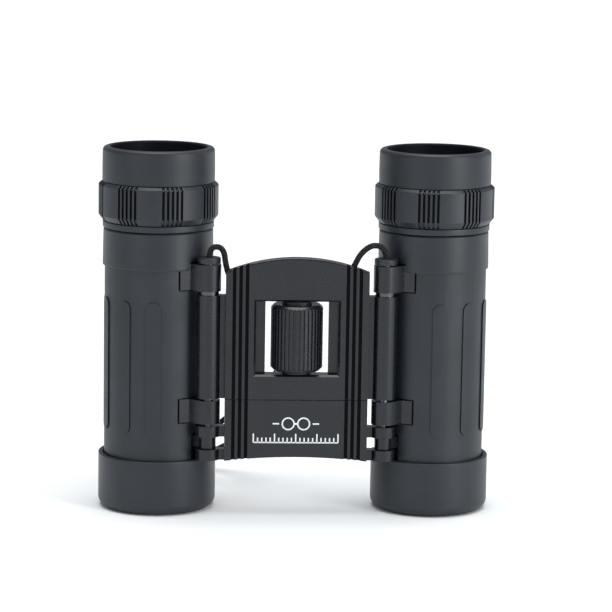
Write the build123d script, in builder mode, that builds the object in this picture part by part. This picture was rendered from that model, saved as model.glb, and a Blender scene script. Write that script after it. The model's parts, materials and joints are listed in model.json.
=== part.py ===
"""Compact folding binoculars, standing on the objective ends with the eyepieces up.

Millimetres. +Z runs up along the two optical tubes, +X across them, and the focus
wheel faces -Y. The origin is the middle of the footprint, at the objective ends.
"""

import os
from math import atan2, cos, degrees, pi, radians, sin, sqrt, tan

from build123d import *

os.makedirs("parts", exist_ok=True)

# ---------------------------------------------------------------- driving sizes
height = 90.0            # objective face to eyecup rim
tube_x = 34.1            # optical axes, half the eye spacing
hinge_x = 21.6           # fold hinge axes
arm = 16.8               # fold hinge axis to optical axis
hinge_y = -9.8           # puts the middle of the footprint on Y = 0
arm_reach = sqrt(arm**2 - (tube_x - hinge_x) ** 2)
tube_y = hinge_y + arm_reach
arm_angle = degrees(atan2(arm_reach, tube_x - hinge_x))

eyecup_r = 13.84
ring_r = 14.78
flange_r = 13.75
collar_r = 13.55         # eyepiece collar
sleeve_r = 13.2          # rubber armour
pad_r = 13.5
objective_r = 14.6
barrel_in_r = 11.25      # inner tube
barrel_out_r = 12.3

flange_z = 70.2
ring_z = 71.7
ring_top_z = 81.4
eyecup_foot_z = 74.0     # inner foot of the eyecup
cell_rise = 1.0          # dioptre travel of the eyepiece cell
cell_shoulder_z = eyecup_foot_z - cell_rise - 0.2
collar_z = 60.8
objective_top_z = 13.6

knuckle_r = 3.0          # hinge knuckles
pin_r = 1.2
pin_bore_r = pin_r + 0.04
cap_r = 2.85
cap_z = 62.8
cap_h = 1.4

front_y = hinge_y - 3.0  # bridge, front face to back face
cover_back_y = hinge_y - 0.8
back_y = hinge_y + 1.3
bridge_half = 17.5
seam_z = 29.5            # bridge above, focus plate below
window_half = 10.1
window_z = (35.65, 53.8)
wheel_r = 6.4
wheel_z = (36.6, 52.9)
groove_x = (12.28, 13.85, 15.42)
groove_w = 0.85

cord_r = 0.725           # braided neck cord

sides = (("left", -1), ("right", 1))


def save(piece, name):
    """Names a finished piece and writes it."""
    piece.part.label = name
    export_step(piece.part, f"parts/{name}.step")


def optical(side):
    """The plane through one optical axis: local X across, local Y up."""
    return Plane((side * tube_x, tube_y, 0), x_dir=(1, 0, 0), z_dir=(0, -1, 0))


def optical_plan(side, z):
    """A level plane centred on one optical axis."""
    return Plane((side * tube_x, tube_y, z))


def inward(side):
    """Direction in degrees from one optical axis to its fold hinge."""
    return 180 + arm_angle if side > 0 else -arm_angle


def hinge_plan(side, z):
    """A level plane on one fold hinge, local X pointing at the optical axis."""
    turn = radians(inward(side) + 180)
    return Plane((side * hinge_x, hinge_y, z), x_dir=(cos(turn), sin(turn), 0), z_dir=(0, 0, 1))


def turned(side, outline):
    """A piece turned about one optical axis from an outline of (radius, height) points."""
    with BuildPart() as piece:
        with BuildSketch(optical(side)):
            with BuildLine():
                Polyline(*outline, close=True)
            make_face()
        revolve(axis=Axis((side * tube_x, tube_y, 0), (0, 0, 1)))
    return piece


def pipe(side, z0, z1, r_in, r_out):
    """A plain ring or tube on one optical axis."""
    return turned(side, [(r_in, z0), (r_out, z0), (r_out, z1), (r_in, z1)])


def lens(side, z, r, thick, bulge):
    """A glass lens: convex towards the objective end, flat on its other face."""
    ball_r = (r**2 + bulge**2) / (2 * bulge)
    with BuildPart() as piece:
        with BuildSketch(optical_plan(side, z - bulge)):
            Circle(r)
        extrude(amount=thick + bulge)
        with Locations((side * tube_x, tube_y, z - bulge + ball_r)):
            Sphere(ball_r, mode=Mode.INTERSECT)
    return piece


# ---------------------------------------------------------------- fold hinge lugs
lug_front = 5.3          # half width of a lug at the tube, on the wheel's side
lug_back = 2.6           # half width on the far side, which folds past the bridge
lug_levels = ((23.1, 28.9), (56.0, 62.5))
slot_half = 1.8          # slot that the focus lug runs in
slot_top_z = 19.95


def lug_outline(side, grow, reach):
    """Plan outline of a hinge lug, from the hinge axis to inside the tube's wall."""
    front = -lug_front - grow if side > 0 else lug_front + grow
    back = lug_back + grow if side > 0 else -lug_back - grow
    nose = knuckle_r if side > 0 else -knuckle_r
    return [(0, -nose), (3.4, -nose), (4.6, front), (reach, front), (reach, back), (0, back)]


def barrel(side):
    """The inner tube with its two hinge lugs."""
    with BuildPart() as piece:
        with BuildSketch(optical_plan(side, 4.3)):
            Circle(barrel_out_r)
        extrude(amount=69.5 - 4.3)
        for low, high in lug_levels:
            with BuildSketch(hinge_plan(side, low)):
                with BuildLine():
                    Polyline(*lug_outline(side, 0, 8.0), close=True)
                make_face()
                Circle(knuckle_r)
            extrude(amount=high - low)
        with BuildSketch(optical_plan(side, 0)):
            Circle(barrel_in_r)
        extrude(amount=height, mode=Mode.SUBTRACT)
        with BuildSketch(hinge_plan(side, 0)):
            Circle(pin_bore_r)
        extrude(amount=height, mode=Mode.SUBTRACT)
        with BuildSketch(hinge_plan(side, 0)):
            with Locations((arm / 2, 0)):
                Rectangle(arm, 2 * slot_half)
        extrude(amount=slot_top_z, mode=Mode.SUBTRACT)
    return piece


# ---------------------------------------------------------------- rubber armour
pad_angles = (52, 86, 120, 154)   # raised pads, each way round from the hinge
pad_z = (20.0, 53.1)
pad_w = 3.7


def armour(side):
    """The rubber sleeve with raised pads, cut out round both hinge lugs."""
    with BuildPart() as pads:
        for angle in [sign * turn for turn in pad_angles for sign in (1, -1)]:
            heading = radians(inward(side) + angle)
            out = (cos(heading), sin(heading), 0)
            seat = (side * tube_x + 12.6 * out[0], tube_y + 12.6 * out[1], sum(pad_z) / 2)
            with BuildSketch(Plane(seat, x_dir=(0, 0, 1), z_dir=out)):
                SlotOverall(pad_z[1] - pad_z[0], pad_w)
            extrude(amount=2)
        with BuildSketch(optical_plan(side, 0)):
            Circle(pad_r)
        extrude(amount=height, mode=Mode.INTERSECT)
    with BuildPart() as piece:
        with BuildSketch(optical_plan(side, 4.3)):
            Circle(sleeve_r)
        extrude(amount=collar_z - 0.05 - 4.3)
        add(pads.part)
        with BuildSketch(optical_plan(side, 0)):
            Circle(barrel_out_r + 0.02)
        extrude(amount=height, mode=Mode.SUBTRACT)
        for low, high in lug_levels:
            with BuildSketch(hinge_plan(side, low - 0.3)):
                with BuildLine():
                    Polyline(*lug_outline(side, 0.35, 9.5), close=True)
                make_face()
            extrude(amount=high - low + 0.6, mode=Mode.SUBTRACT)
        with BuildSketch(hinge_plan(side, 0)):
            with Locations((arm / 2, 0)):
                Rectangle(arm, 2 * slot_half)
        extrude(amount=slot_top_z, mode=Mode.SUBTRACT)
    return piece


# ---------------------------------------------------------------- eyepiece end
groove_groups = 8
grooves_each = 5
groove_step = 360 / groove_groups / 19.5
ring_phase = {-1: 13.9, 1: -10.4}    # from the -Y direction


def eyepiece_collar(side):
    """The collar under the grip ring, notched over the upper hinge lug."""
    outline = [(12.35, collar_z), (collar_r + 0.15, collar_z), (collar_r + 0.15, collar_z + 0.6),
               (collar_r, 69.6), (collar_r - 0.25, 70.0), (12.35, 70.0)]
    piece = turned(side, outline)
    with BuildPart() as notched:
        add(piece.part)
        with BuildSketch(hinge_plan(side, collar_z - 1)):
            with BuildLine():
                Polyline(*lug_outline(side, 0.35, 9.5), close=True)
            make_face()
        extrude(amount=lug_levels[1][1] - collar_z + 1.3, mode=Mode.SUBTRACT)
    return notched


def grip_ring(side):
    """The ring that the fingers turn, with groups of grooves between smooth pads."""
    outline = [(12.3, ring_z + 0.15), (flange_r - 0.05, ring_z + 0.15), (ring_r, 73.35), (ring_r, 80.7),
               (flange_r + 0.2, ring_top_z), (12.3, ring_top_z)]
    with BuildPart() as piece:
        add(turned(side, outline).part)
        for group in range(groove_groups):
            middle = -90 + ring_phase[side] + group * 360 / groove_groups
            for step in range(grooves_each):
                angle = middle + (step - (grooves_each - 1) / 2) * 2 * groove_step
                with BuildSketch(optical_plan(side, ring_z)):
                    with Locations(Rotation(0, 0, angle)):
                        with Locations((ring_r, 0)):
                            Rectangle(1.0, 0.6)
                extrude(amount=ring_top_z - ring_z - 0.2, mode=Mode.SUBTRACT)
    return piece


def eyecup(side):
    """The soft eyecup: a rounded rim outside, a stepped bore inside."""
    with BuildPart() as piece:
        with BuildSketch(optical(side)):
            with BuildLine():
                Polyline((10.2, eyecup_foot_z), (12.25, eyecup_foot_z), (12.25, ring_top_z + 0.1),
                         (eyecup_r, ring_top_z + 0.1), (eyecup_r, 88.6))
                RadiusArc((eyecup_r, 88.6), (eyecup_r - 1.2, 90.0), -1.4)
                Polyline((eyecup_r - 1.2, 90.0), (11.9, 90.0), (11.35, 89.3), (11.2, 80.0),
                         (10.2, 80.0), (10.2, eyecup_foot_z))
            make_face()
        revolve(axis=Axis((side * tube_x, tube_y, 0), (0, 0, 1)))
    return piece


for name, side in sides:
    save(barrel(side), f"{name}_barrel")
    save(armour(side), f"{name}_armour")
    save(eyepiece_collar(side), f"{name}_eyepiece_collar")
    save(turned(side, [(10.9, flange_z), (flange_r, flange_z), (flange_r, ring_z), (12.25, ring_z),
                       (12.25, 73.6), (10.9, 73.6)]), f"{name}_eyepiece_flange")
    save(grip_ring(side), f"{name}_grip_ring")
    save(eyecup(side), f"{name}_eyecup")
    save(turned(side, [(9.6, 62.5), (10.7, 62.5), (10.7, cell_shoulder_z), (10.1, cell_shoulder_z), (10.1, 78.0),
                       (8.4, 78.0), (8.4, 76.6), (9.6, 76.6)]), f"{name}_eyepiece_cell")
    save(lens(side, 73.4, 9.55, 3.1, 0.9), f"{name}_eye_lens")
    save(lens(side, 65.4, 9.55, 2.4, 1.2), f"{name}_field_lens")
    save(pipe(side, 69.0, 71.6, 8.9, 9.55), f"{name}_lens_spacer")


# ---------------------------------------------------------------- prisms
def prism_holder(side):
    """The cage that carries both roof prisms."""
    with BuildPart() as piece:
        with BuildSketch(optical_plan(side, 32.0)):
            Circle(barrel_in_r - 0.05)
        extrude(amount=28.0)
        with BuildSketch(optical_plan(side, 33.5)):
            Rectangle(15.6, 17.6)
        extrude(amount=25.0, mode=Mode.SUBTRACT)
        with BuildSketch(optical_plan(side, 30.0)):
            Circle(6.5)
        extrude(amount=32.0, mode=Mode.SUBTRACT)
    return piece


def prism(side, outline, width):
    """A glass prism, drawn in the plane of the folded light path."""
    with BuildPart() as piece:
        with BuildSketch(optical(side)):
            with BuildLine():
                Polyline(*outline, close=True)
            make_face()
        extrude(amount=width / 2, both=True)
    return piece


for name, side in sides:
    save(prism_holder(side), f"{name}_prism_holder")
    save(prism(side, [(-7.4, 34.0), (7.4, 34.0), (7.4, 36.5), (-1.5, 43.5), (-7.4, 43.5)], 14.0),
         f"{name}_half_pentaprism")
    save(prism(side, [(-7.4, 44.6), (-1.0, 44.6), (7.4, 37.9), (7.4, 51.0), (0.0, 58.0), (-7.4, 51.0)], 15.0),
         f"{name}_roof_prism")


# ---------------------------------------------------------------- objective end
focus_lug_z = (16.8, 19.6)
focus_lug_r = 2.05


def objective_cell(side):
    """The sliding lens cell, with the lug that the focus plate carries."""
    with BuildPart() as piece:
        with BuildSketch(optical_plan(side, 0.9)):
            Circle(barrel_in_r - 0.05)
        extrude(amount=27.0)
        with BuildSketch(hinge_plan(side, focus_lug_z[0])):
            with Locations((3.5, 0)):
                Rectangle(7.0, 3.0)
            Circle(focus_lug_r)
        extrude(amount=focus_lug_z[1] - focus_lug_z[0])
        with BuildSketch(optical_plan(side, 0)):
            Circle(9.6)
        extrude(amount=height, mode=Mode.SUBTRACT)
        with BuildSketch(optical_plan(side, 3.2)):
            Circle(10.6)
        extrude(amount=5.6, mode=Mode.SUBTRACT)
        with BuildSketch(hinge_plan(side, 0)):
            Circle(pin_bore_r)
        extrude(amount=height, mode=Mode.SUBTRACT)
    return piece


def objective_collar(side):
    """The outer collar, which slides over the armour and is the foot of the tube."""
    outline = [(11.25, 0.0), (objective_r, 0.0), (objective_r, 13.3), (objective_r - 0.3, objective_top_z),
               (pad_r, objective_top_z), (pad_r - 0.1, 13.4), (pad_r - 0.1, 4.0), (11.25, 4.0)]
    with BuildPart() as piece:
        add(turned(side, outline).part)
        foot = piece.edges().filter_by(GeomType.CIRCLE).group_by(Axis.Z)[0].sort_by(SortBy.RADIUS)
        fillet(foot[-1], radius=2.3)
        chamfer(foot[0], length=0.5)
    return piece


for name, side in sides:
    save(objective_cell(side), f"{name}_objective_cell")
    save(lens(side, 4.6, 10.5, 2.6, 1.2), f"{name}_objective_lens")
    save(pipe(side, 7.3, 8.7, 9.7, 10.5), f"{name}_objective_retainer")
    save(objective_collar(side), f"{name}_objective_collar")


# ---------------------------------------------------------------- bridge
shelf_z = 56.0           # top edge of the bridge frame, which the cord crosses
corner_z = 61.1          # arched top of the cover, at its corners and crown
crown_z = 64.6
boss_half = 4.9          # thick middle of the frame, which holds the wheel
boss_y = hinge_y + 5.0
groove_depth = 0.6
screw_spots = [(x, z) for x in (14.63, -14.63) for z in (33.0, 52.5)]
journal_r = 2.5
screw_r = 1.6            # focus screw
rod_r = 0.6              # guide rods of the focus plate
rod_z = (22.0, 34.6)
screw_low_z = 19.0
rod_x = 8.5
rod_y = hinge_y + 0.25


def front(y):
    """An upright plane facing the front, at depth y: local X across, local Y up."""
    return Plane((0, y, 0), x_dir=(1, 0, 0), z_dir=(0, -1, 0))


def hinge_xy(side, z):
    """A level plane on one fold hinge, square to the bridge."""
    return Plane((side * hinge_x, hinge_y, z))


with BuildPart() as bridge_cover:
    with BuildSketch(front(cover_back_y)):
        with BuildLine():
            Polyline((-bridge_half, corner_z), (-bridge_half, seam_z), (bridge_half, seam_z),
                     (bridge_half, corner_z))
            ThreePointArc((bridge_half, corner_z), (0, crown_z), (-bridge_half, corner_z))
        make_face()
        with Locations((0, sum(window_z) / 2)):
            Rectangle(2 * window_half, window_z[1] - window_z[0], mode=Mode.SUBTRACT)
    extrude(amount=cover_back_y - front_y)
    face = bridge_cover.faces().sort_by(Axis.Y)[0]
    chamfer(face.inner_wires()[0].edges(), length=0.45)
    face = bridge_cover.faces().sort_by(Axis.Y)[0]
    fillet(face.outer_wire().edges().sort_by(Axis.Z)[-1], radius=0.5)
    with BuildSketch(front(front_y + groove_depth)):
        with Locations(*[(sign * x, 45) for x in groove_x for sign in (1, -1)]):
            Rectangle(groove_w, 50)
    extrude(amount=groove_depth, mode=Mode.SUBTRACT)
    with BuildSketch(front(cover_back_y)):
        with Locations(*screw_spots):
            Circle(0.8)
    extrude(amount=1.2, mode=Mode.SUBTRACT)
    with BuildSketch(Plane((0, hinge_y, window_z[1] - 1))):
        Circle(journal_r + 0.05)
    extrude(amount=2.7, mode=Mode.SUBTRACT)
    with BuildSketch(Plane((0, hinge_y, seam_z - 1))):
        Circle(screw_r + 0.15)
    extrude(amount=8, mode=Mode.SUBTRACT)
save(bridge_cover, "bridge_cover")

with BuildPart() as bridge_frame:
    with BuildSketch(front(back_y)):
        with Locations((0, (seam_z + shelf_z) / 2)):
            Rectangle(2 * bridge_half, shelf_z - seam_z)
        with Locations((0, sum(window_z) / 2)):
            Rectangle(15.5, window_z[1] - window_z[0], mode=Mode.SUBTRACT)
    extrude(amount=back_y - cover_back_y)
    with BuildSketch(front(boss_y)):
        with Locations((0, (window_z[1] + shelf_z) / 2)):
            Rectangle(2 * boss_half, shelf_z - window_z[1])
        with Locations((0, (seam_z + window_z[0]) / 2)):
            Rectangle(2 * boss_half, window_z[0] - seam_z)
    extrude(amount=boss_y - cover_back_y)
    for name, side in sides:
        with BuildSketch(hinge_xy(side, seam_z - 0.1)):
            Circle(knuckle_r)
            with Locations((-side * (hinge_x - bridge_half - 1.1), 0)):
                Rectangle(2.2, 2.4)
        extrude(amount=55.0 - seam_z + 0.1)
        with BuildSketch(hinge_xy(side, 20)):
            Circle(pin_r)
        extrude(amount=40, mode=Mode.SUBTRACT)
    with BuildSketch(Plane((0, hinge_y, seam_z - 1))):
        Circle(screw_r + 0.15)
        with Locations((rod_x, rod_y - hinge_y), (-rod_x, rod_y - hinge_y)):
            Circle(rod_r + 0.05)
    extrude(amount=6.4, mode=Mode.SUBTRACT)
    with BuildSketch(Plane((0, hinge_y, seam_z - 1))):
        Circle(screw_r + 0.15)
    extrude(amount=8, mode=Mode.SUBTRACT)
    with BuildSketch(Plane((0, hinge_y, window_z[1] - 1))):
        Circle(journal_r + 0.05)
    extrude(amount=2.7, mode=Mode.SUBTRACT)
    with BuildSketch(front(back_y)):
        with Locations(*screw_spots):
            Circle(0.8)
    extrude(amount=5, mode=Mode.SUBTRACT)
    with BuildSketch(front(back_y - 0.9)):
        with Locations(*screw_spots):
            Circle(1.65)
    extrude(amount=-2, mode=Mode.SUBTRACT)
save(bridge_frame, "bridge_frame")

with BuildPart() as cover_screws:
    with BuildSketch(front(back_y - 0.9)):
        with Locations(*screw_spots):
            Circle(0.8)
    extrude(amount=back_y - 0.9 - cover_back_y + 1.1)
    with BuildSketch(front(back_y - 0.1)):
        with Locations(*screw_spots):
            Circle(1.6)
            Rectangle(1.7, 0.4, mode=Mode.SUBTRACT)
            Rectangle(0.4, 1.7, mode=Mode.SUBTRACT)
    extrude(amount=0.8)
save(cover_screws, "cover_screws")

# ---------------------------------------------------------------- fold hinge pins
stem_r = 0.7             # thin upper end of the focus plate's pins
stem_top_z = 29.0

for name, side in sides:
    with BuildPart() as hinge_pin:
        with BuildSketch(hinge_xy(side, lug_levels[0][0] + 0.2)):
            Circle(pin_r)
        extrude(amount=cap_z - lug_levels[0][0] - 0.2)
        with BuildSketch(hinge_xy(side, 20)):
            Circle(stem_r + 0.05)
        extrude(amount=stem_top_z + 0.5 - 20, mode=Mode.SUBTRACT)
    save(hinge_pin, f"{name}_hinge_pin")

    with BuildPart() as pin_cap:
        with BuildSketch(hinge_xy(side, cap_z)):
            Circle(cap_r)
        extrude(amount=cap_h)
        fillet(pin_cap.edges().group_by(Axis.Z)[-1], radius=0.25)
        with BuildSketch(hinge_xy(side, cap_z + cap_h - 0.6)):
            Circle(0.95)
        extrude(amount=0.6, mode=Mode.SUBTRACT)
        with BuildSketch(hinge_xy(side, cap_z + cap_h - 0.5)):
            with Locations((-side * 2.0, -1.2)):
                Rectangle(1.3, 0.5)
        extrude(amount=0.6, mode=Mode.SUBTRACT)
    save(pin_cap, f"{name}_pin_cap")

with BuildPart() as hinge_washers:
    for name, side in sides:
        with BuildSketch(hinge_xy(side, 55.0)):
            Circle(2.5)
            Circle(pin_r, mode=Mode.SUBTRACT)
        extrude(amount=0.95)
save(hinge_washers, "hinge_washers")

# ---------------------------------------------------------------- focus wheel and screw
flutes = 36
flute_r = 0.34
hub_r = 3.6

with BuildPart() as focus_wheel:
    with BuildSketch(Plane((0, hinge_y, wheel_z[0]))):
        Circle(wheel_r)
    extrude(amount=wheel_z[1] - wheel_z[0])
    chamfer(focus_wheel.edges(), length=0.8)
    with BuildSketch(Plane((0, hinge_y, wheel_z[0]))):
        with PolarLocations(wheel_r + 0.08, flutes):
            Circle(flute_r)
        Circle(hub_r)
    extrude(amount=wheel_z[1] - wheel_z[0], mode=Mode.SUBTRACT)
save(focus_wheel, "focus_wheel")

with BuildPart() as focus_hub:
    with BuildSketch(Plane((0, hinge_y, window_z[0] + 0.15))):
        Circle(hub_r)
    extrude(amount=window_z[1] - window_z[0] - 0.3)
    with BuildSketch(Plane((0, hinge_y, window_z[1] - 0.2))):
        Circle(journal_r)
    extrude(amount=1.7)
    with BuildSketch(Plane((0, hinge_y, 30))):
        Circle(screw_r + 0.06)
    extrude(amount=21.0, mode=Mode.SUBTRACT)
save(focus_hub, "focus_hub")

with BuildPart() as focus_screw:
    with BuildSketch(Plane((0, hinge_y, screw_low_z))):
        Circle(screw_r)
    extrude(amount=31.0)
    chamfer(focus_screw.edges().group_by(Axis.Z)[-1], length=0.4)
save(focus_screw, "focus_screw")

# ---------------------------------------------------------------- focus plate
plate_top_z = seam_z - 0.15
plate_end_z = 14.1
plate_mid_z = 15.15
plate_knuckles = ((14.0, 16.7), (19.8, 22.5))

with BuildPart() as focus_plate:
    with BuildSketch(front(back_y)):
        with BuildLine():
            Polyline((bridge_half, plate_end_z), (bridge_half, plate_top_z),
                     (-bridge_half, plate_top_z), (-bridge_half, plate_end_z))
            ThreePointArc((-bridge_half, plate_end_z), (0, plate_mid_z), (bridge_half, plate_end_z))
        make_face()
    extrude(amount=back_y - front_y)
    with BuildSketch(front(front_y + groove_depth)):
        with Locations(*[(sign * x, 22) for x in groove_x for sign in (1, -1)]):
            Rectangle(groove_w, 20)
    extrude(amount=groove_depth, mode=Mode.SUBTRACT)
    with BuildSketch(front(hinge_y + 3.2)):
        with Locations((0, (18.0 + plate_top_z) / 2)):
            Rectangle(6.4, plate_top_z - 18.0)
    extrude(amount=3.2)
    for name, side in sides:
        for low, high in plate_knuckles:
            with BuildSketch(hinge_xy(side, low)):
                Circle(knuckle_r)
                with Locations((-side * (hinge_x - bridge_half - 1.1), 0)):
                    Rectangle(2.4, 2.4)
            extrude(amount=high - low)
        with BuildSketch(hinge_xy(side, 10)):
            Circle(pin_r)
        extrude(amount=15, mode=Mode.SUBTRACT)
    with BuildSketch(Plane((0, hinge_y, screw_low_z))):
        Circle(screw_r)
    extrude(amount=15, mode=Mode.SUBTRACT)
    with BuildSketch(Plane((0, hinge_y, rod_z[0]))):
        with Locations((rod_x, rod_y - hinge_y), (-rod_x, rod_y - hinge_y)):
            Circle(rod_r)
    extrude(amount=15, mode=Mode.SUBTRACT)
save(focus_plate, "focus_plate")

with BuildPart() as guide_rods:
    with BuildSketch(Plane((0, hinge_y, rod_z[0]))):
        with Locations((rod_x, rod_y - hinge_y), (-rod_x, rod_y - hinge_y)):
            Circle(rod_r)
    extrude(amount=rod_z[1] - rod_z[0])
save(guide_rods, "guide_rods")

for name, side in sides:
    with BuildPart() as plate_pin:
        with BuildSketch(hinge_xy(side, plate_knuckles[0][0])):
            Circle(pin_r)
        extrude(amount=plate_knuckles[1][1] - plate_knuckles[0][0])
        with BuildSketch(hinge_xy(side, plate_knuckles[1][1])):
            Circle(stem_r)
        extrude(amount=stem_top_z - plate_knuckles[1][1])
    save(plate_pin, f"{name}_plate_pin")

# ---------------------------------------------------------------- neck cord
coil_x = -34.4
coil_y = hinge_y + 43.0
coil_mean_r = 8.25
coil_rows = 4            # turns on top of each other
coil_columns = 3         # turns side by side
tie_thick = 0.35
cord_d = 2 * cord_r
coil_low_z = tie_thick
coil_high_z = tie_thick + coil_rows * cord_d
coil_in_r = coil_mean_r - coil_columns * cord_r
coil_out_r = coil_mean_r + coil_columns * cord_r
coil_turns = coil_rows * coil_columns - 0.5   # in at the back, out at the front: the tie holds twelve strands

# Each strand leaves its pin cap, crosses behind the bridge cover and drops to the coil.
left_route = [(-21.6, 0, 63.6), (-21.6, 0, 66.8), (-18.1, 0, 66.7), (-17.5, 0, 61.8), (-16.3, 0, 58.6),
              (-13.2, 0.1, 57.0), (-8.0, 0.15, 56.85), (-3.0, 0.6, 56.9), (-0.6, 3.4, 56.9),
              (0, 8.2, 56.5), (0, 15, 52.5), (0, 22, 44), (-0.6, 28.2, 33.5), (-3.5, 35, 21.8),
              (-10, 42.3, 12), (-18.5, 48.8, 5.4), (-26, 52.2, 2.0), (-31.5, 53.0, 1.3)]
right_route = [(21.6, 0, 63.6), (21.6, 0, 66.6), (18.4, 0, 67.8), (15.2, 0, 65.4), (13.6, 0.1, 61.6),
               (10.8, 0.15, 59.2), (6.5, 0.2, 58.75), (2.6, 0.75, 58.75), (0.5, 3.5, 58.8),
               (0, 9.2, 58.6), (0, 17, 54.6), (0, 24.4, 45.6), (-0.6, 30.4, 35.5), (-4.5, 34.6, 27.5),
               (-11.5, 37.0, 20.5), (-19.5, 37.0, 14), (-26.5, 35.0, 8.6), (-31.5, 33.6, 5.7)]


def strand(route):
    """A round cord along straight runs joined by arcs as large as the runs allow."""
    points = [Vector(x, hinge_y + y, z) for x, y, z in route]
    radii = []
    for before, here, after in zip(points, points[1:], points[2:]):
        run_in = here - before
        run_out = after - here
        half_turn = radians(run_in.get_angle(run_out)) / 2
        radii.append(0.45 * min(run_in.length, run_out.length) / tan(half_turn))
    with BuildPart() as piece:
        with BuildLine():
            path = FilletPolyline(*points, radius=radii)
        with BuildSketch(Plane(path @ 0, z_dir=path % 0)):
            Circle(cord_r)
        sweep()
    length = path.length
    print("bend radii", [round(radius, 1) for radius in radii])
    print("length", round(length, 1), "volume over section times length",
          round(piece.part.volume / (pi * cord_r**2 * length), 4))
    return piece, length


left_cord, left_length = strand(left_route)
save(left_cord, "left_cord")
right_cord, right_length = strand(right_route)
save(right_cord, "right_cord")
coil_length = coil_turns * 2 * pi * coil_mean_r
print("whole cord", round(left_length + right_length + coil_length, 1))

coil_plane = Plane((coil_x, coil_y, 0), x_dir=(1, 0, 0), z_dir=(0, -1, 0))
coil_axis = Axis((coil_x, coil_y, 0), (0, 0, 1))
coil_middle = (-coil_mean_r, (coil_low_z + coil_high_z) / 2)

with BuildPart() as cord_coil:
    with BuildSketch(coil_plane):
        with Locations(coil_middle):
            Rectangle(coil_out_r - coil_in_r, coil_high_z - coil_low_z)
    revolve(axis=coil_axis)
save(cord_coil, "cord_coil")

with BuildPart() as cord_tie:
    with BuildSketch(coil_plane):
        with Locations(coil_middle):
            Rectangle(coil_out_r - coil_in_r + 2 * tie_thick, coil_high_z - coil_low_z + 2 * tie_thick)
            Rectangle(coil_out_r - coil_in_r, coil_high_z - coil_low_z, mode=Mode.SUBTRACT)
    revolve(axis=coil_axis, revolution_arc=22)
save(cord_tie, "cord_tie")
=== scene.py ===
"""Compact folding binoculars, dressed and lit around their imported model."""

import json
import logging
from collections.abc import Callable
from dataclasses import dataclass, field
from enum import Enum
from math import cos, pi, radians, sin

import bmesh
import bpy
from mathutils import Matrix, Vector


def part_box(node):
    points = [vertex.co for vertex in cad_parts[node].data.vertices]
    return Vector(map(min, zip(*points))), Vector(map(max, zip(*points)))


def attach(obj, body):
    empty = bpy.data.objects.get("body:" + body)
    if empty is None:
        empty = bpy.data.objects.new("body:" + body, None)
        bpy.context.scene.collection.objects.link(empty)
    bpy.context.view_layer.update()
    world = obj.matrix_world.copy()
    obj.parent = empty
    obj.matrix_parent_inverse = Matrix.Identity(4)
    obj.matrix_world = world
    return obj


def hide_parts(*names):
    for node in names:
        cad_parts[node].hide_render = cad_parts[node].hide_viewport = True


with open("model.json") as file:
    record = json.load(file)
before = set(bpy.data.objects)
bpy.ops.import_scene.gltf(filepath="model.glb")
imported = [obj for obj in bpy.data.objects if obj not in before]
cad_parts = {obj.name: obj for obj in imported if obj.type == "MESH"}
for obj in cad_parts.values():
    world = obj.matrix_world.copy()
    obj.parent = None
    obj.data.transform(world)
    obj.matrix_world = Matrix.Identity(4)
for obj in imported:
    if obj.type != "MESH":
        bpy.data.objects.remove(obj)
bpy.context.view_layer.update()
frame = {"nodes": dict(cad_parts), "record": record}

logging.basicConfig(level=logging.INFO, format="%(message)s")
log = logging.getLogger("binoculars")

MM = 0.001
Colour = tuple[float, float, float]
Profile = list[tuple[float, float]]


class Side(Enum):
    """The two optical tubes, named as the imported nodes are."""

    LEFT = -1
    RIGHT = 1

    @property
    def label(self) -> str:
        """The prefix of the tube's nodes."""
        return self.name.lower()

    @property
    def axis(self) -> Vector:
        """A point on the optical axis, at the eyecup's foot."""
        low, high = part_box(f"{self.label}_eyecup")
        return Vector(((low.x + high.x) / 2, (low.y + high.y) / 2, low.z))

    @property
    def hinge(self) -> Vector:
        """A point on the fold hinge, at the pin cap's foot."""
        low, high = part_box(f"{self.label}_pin_cap")
        return Vector(((low.x + high.x) / 2, (low.y + high.y) / 2, low.z))

    @property
    def tube(self) -> str:
        """The body that folds with this tube."""
        return f"{self.label}_tube"


# ------------------------------------------------------------------ shader graphs
class Wire:
    """A shader socket that takes Python's arithmetic and adds the Math nodes for it."""

    def __init__(self, graph: "Graph", socket: bpy.types.NodeSocket) -> None:
        """Wraps one output socket of a graph."""
        self.graph = graph
        self.socket = socket

    def _math(self, operation: str, first: "Wire | float", second: "Wire | float" = 0.0) -> "Wire":
        """Adds a Math node.

        Args:
            operation: Blender's name of the operation.
            first: the upper operand.
            second: the lower operand.

        Returns:
            The node's result.
        """
        return self.graph.node("ShaderNodeMath", {"operation": operation}, {0: first, 1: second})

    def __add__(self, other: "Wire | float") -> "Wire":
        """Sum."""
        return self._math("ADD", self, other)

    def __sub__(self, other: "Wire | float") -> "Wire":
        """Difference."""
        return self._math("SUBTRACT", self, other)

    def __rsub__(self, other: float) -> "Wire":
        """Difference from a number."""
        return self._math("SUBTRACT", other, self)

    def __mul__(self, other: "Wire | float") -> "Wire":
        """Product."""
        return self._math("MULTIPLY", self, other)

    def __pow__(self, other: float) -> "Wire":
        """Power."""
        return self._math("POWER", self, other)

    __radd__ = __add__
    __rmul__ = __mul__

    def sine(self) -> "Wire":
        """Sine of the value in radians."""
        return self._math("SINE", self)

    def size(self) -> "Wire":
        """Absolute value."""
        return self._math("ABSOLUTE", self)

    def larger(self, other: "Wire | float") -> "Wire":
        """The larger of two values."""
        return self._math("MAXIMUM", self, other)

    def clipped(self) -> "Wire":
        """The value held between 0 and 1."""
        return self._math("MINIMUM", self._math("MAXIMUM", self, 0.0), 1.0)


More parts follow.
